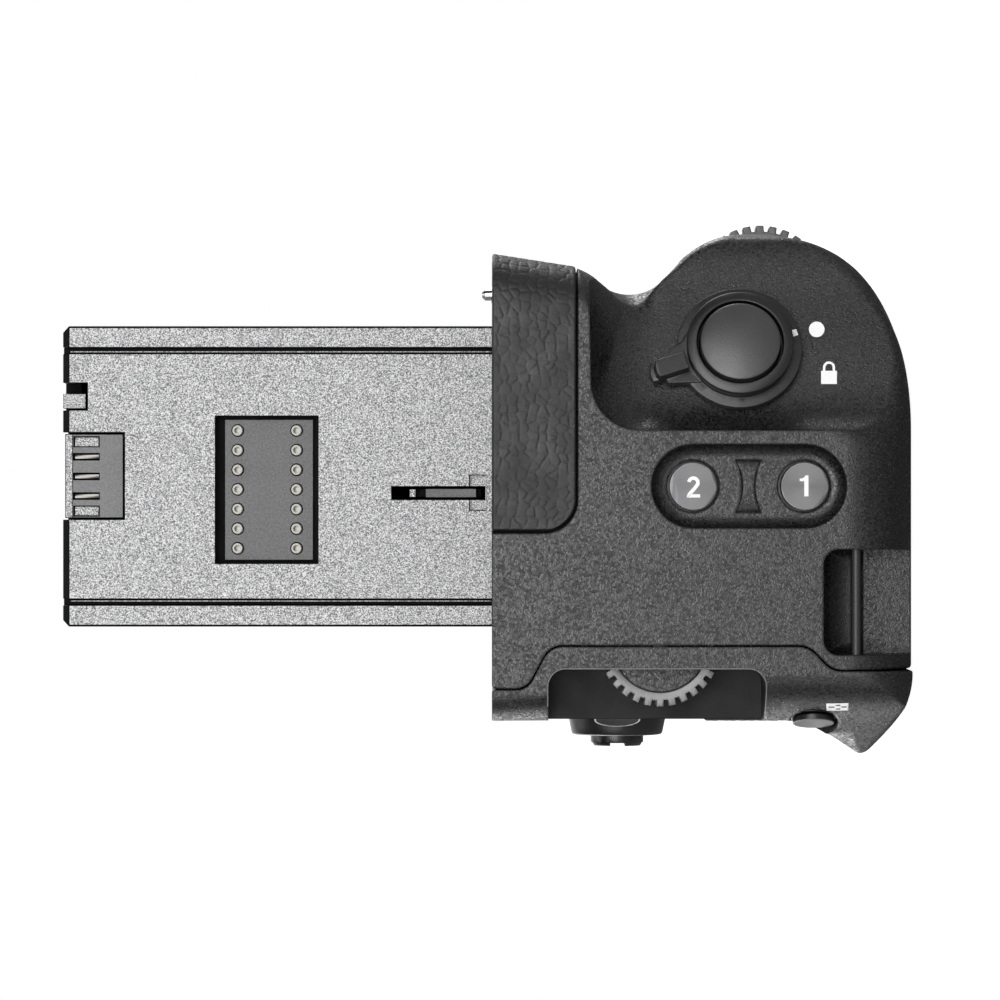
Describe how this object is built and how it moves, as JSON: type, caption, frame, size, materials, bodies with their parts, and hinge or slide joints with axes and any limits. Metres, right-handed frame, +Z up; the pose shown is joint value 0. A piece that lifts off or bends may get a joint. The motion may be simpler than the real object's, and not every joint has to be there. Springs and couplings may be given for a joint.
{
  "type": "camera battery grip",
  "caption": "Vertical grip that screws under a camera, with an upright chamber insert, shutter button with lock lever, finger dials, joystick and a drawer tray for batteries.",
  "frame": {"origin": "centre of the mouth of the tripod socket, in the base plane", "axes": "+X along the grip to the button end, +Y to the lens side, +Z up to the camera"},
  "size_m": [0.1351, 0.0667, 0.1071],
  "materials": {
    "shell": "fine speckled moulded grain",
    "rubber": "pebbled leather grain",
    "insert": "fine spark-eroded grain",
    "dark": "smooth matt",
    "block": "smooth matt",
    "steel": "turned",
    "alloy": "spun, anodised grey",
    "contact": "plated",
    "board": "solder mask"
  },
  "bodies": {
    "housing": {"front_shell": "shell", "rear_cover": "shell", "bottom_plate": "shell", "grip_rubber": "rubber", "hand_pad": "rubber", "thumb_pad": "rubber", "strap_bar": "steel", "locating_pins": "steel", "top_screws": "steel", "base_screws": "steel", "tripod_bush": "steel", "insert_body": "insert", "insert_cover": "insert", "contact_block": "block", "terminal_block": "block", "terminal_blades": "contact", "shutter_escutcheon": "dark", "shutter_switch": "dark", "end_board": "board", "tact_switches": "dark", "front_dial_axle": "steel", "rear_dial_axle": "steel", "joystick_collar": "dark", "joystick_housing": "dark", "focus_switch": "dark", "exposure_switch": "dark", "rear_board": "board", "main_board": "board", "bay_contact_blocks": "dark", "bay_contacts": "contact"},
    "pins": {"contact_pins": "contact"},
    "slider": {"insert_latch": "block"},
    "shutter": {"shutter_button": "alloy", "shutter_clip": "steel"},
    "lever": {"lock_lever": "dark"},
    "key_1": {"custom_button_1": "alloy"},
    "key_2": {"custom_button_2": "alloy"},
    "dial_front": {"front_dial": "alloy"},
    "dial_rear": {"rear_dial": "alloy", "rear_dial_cap": "dark"},
    "gimbal": {"joystick_gimbal": "alloy"},
    "rocker": {"joystick_rocker": "steel"},
    "stick": {"joystick_cap": "dark"},
    "focus": {"focus_button": "dark"},
    "exposure": {"exposure_button": "dark"},
    "screw": {"camera_screw": "steel", "screw_wheel": "dark"},
    "tray": {"battery_tray": "dark", "tray_door": "shell"},
    "latch": {"tray_latch": "dark"}
  },
  "joints": [
    {"name": "pins_press", "type": "slide", "parent": "housing", "child": "pins", "axis": [-1, 0, 0], "range_m": [0, 0.0004], "stiffness_N_per_m": 600},
    {"name": "slider_pull", "type": "slide", "parent": "housing", "child": "slider", "axis": [0, 0, 1], "range_m": [0, 0.002], "stiffness_N_per_m": 150},
    {"name": "shutter_press", "type": "slide", "parent": "housing", "child": "shutter", "axis": [-0.9563, -0.2924, 0], "range_m": [0, 0.001], "stiffness_N_per_m": 400},
    {"name": "lever_turn", "type": "hinge", "parent": "housing", "child": "lever", "pos_m": [0.06542, 0.0254, 0.0217], "axis": [0.9563, 0.2924, 0], "range_deg": [-32, 0]},
    {"name": "key_1_press", "type": "slide", "parent": "housing", "child": "key_1", "axis": [-1, 0, 0], "range_m": [0, 0.0005], "stiffness_N_per_m": 600},
    {"name": "key_2_press", "type": "slide", "parent": "housing", "child": "key_2", "axis": [-1, 0, 0], "range_m": [0, 0.0005], "stiffness_N_per_m": 600},
    {"name": "dial_front_turn", "type": "hinge", "parent": "housing", "child": "dial_front", "pos_m": [0.0525, 0.033, 0.0185], "axis": [1, 0, 0], "continuous": true},
    {"name": "dial_rear_turn", "type": "hinge", "parent": "housing", "child": "dial_rear", "pos_m": [0.0653, -0.01115, 0.0316], "axis": [1, 0, 0], "continuous": true},
    {"name": "stick_side", "type": "hinge", "parent": "housing", "child": "gimbal", "pos_m": [0.04, -0.0162, 0.0363], "axis": [0, 0, 1], "range_deg": [-6, 6], "stiffness_Nm_per_rad": 0.02},
    {"name": "stick_tilt", "type": "hinge", "parent": "gimbal", "child": "rocker", "pos_m": [0.04, -0.0162, 0.0363], "axis": [1, 0, 0], "range_deg": [-6, 6], "stiffness_Nm_per_rad": 0.02},
    {"name": "stick_press", "type": "slide", "parent": "rocker", "child": "stick", "axis": [0, 1, 0], "range_m": [0, 0.00035], "stiffness_N_per_m": 800},
    {"name": "focus_press", "type": "slide", "parent": "housing", "child": "focus", "axis": [-0.342, 0.9397, 0], "range_m": [0, 0.0005], "stiffness_N_per_m": 500},
    {"name": "exposure_press", "type": "slide", "parent": "housing", "child": "exposure", "axis": [-0.3746, 0.9272, 0], "range_m": [0, 0.0005], "stiffness_N_per_m": 500},
    {"name": "screw_turn", "type": "hinge", "parent": "housing", "child": "screw", "pos_m": [0, 0, 0.048], "axis": [0, 0, 1], "continuous": true},
    {"name": "tray_slide", "type": "slide", "parent": "housing", "child": "tray", "axis": [-1, 0, 0], "range_m": [0, 0.06]},
    {"name": "latch_slide", "type": "slide", "parent": "tray", "child": "latch", "axis": [0, 0, 1], "range_m": [0, 0.0055]}
  ]
}
